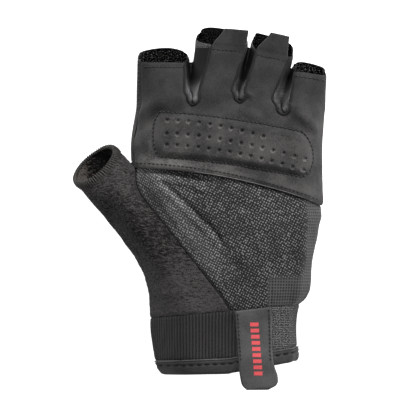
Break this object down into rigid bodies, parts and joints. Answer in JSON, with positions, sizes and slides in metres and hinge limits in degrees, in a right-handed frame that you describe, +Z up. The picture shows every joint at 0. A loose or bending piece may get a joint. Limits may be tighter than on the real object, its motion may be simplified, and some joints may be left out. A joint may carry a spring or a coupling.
{
  "type": "weightlifting glove",
  "caption": "Left-hand half-finger weightlifting glove with a padded nubuck palm, dotted grip panel, fleece thumb, mesh back and a ribbed elastic cuff with a pull tab.",
  "frame": {"origin": "on the table, under the middle of the palm, on the flat underside of the back panel", "axes": "+Y towards the fingertips, +X towards the little finger, +Z up out of the palm"},
  "size_m": [0.1268, 0.1808, 0.0374],
  "materials": {
    "nubuck_leather": "brushed dark grey nubuck",
    "dotted_grip": "black woven cloth with small light grey grip dots",
    "fleece": "brushed heathered fleece",
    "mesh_knit": "fine open mesh knit",
    "rib_knit": "ribbed elastic knit",
    "binding_tape": "folded woven tape",
    "satin": "smooth stretch satin"
  },
  "bodies": {
    "root": {"leather_palm": "nubuck_leather", "palm_pad": "nubuck_leather", "finger_tab_middle": "nubuck_leather", "finger_tab_ring": "nubuck_leather", "wrist_tab": "nubuck_leather", "grip_panel": "dotted_grip", "thumb_sleeve": "fleece", "back_panel": "mesh_knit", "cuff_mesh": "mesh_knit", "cuff_rib": "rib_knit", "cuff_binding": "binding_tape", "fourchette_index_middle": "satin", "fourchette_middle_ring": "satin", "fourchette_ring_little": "satin"}
  },
  "joints": []
}
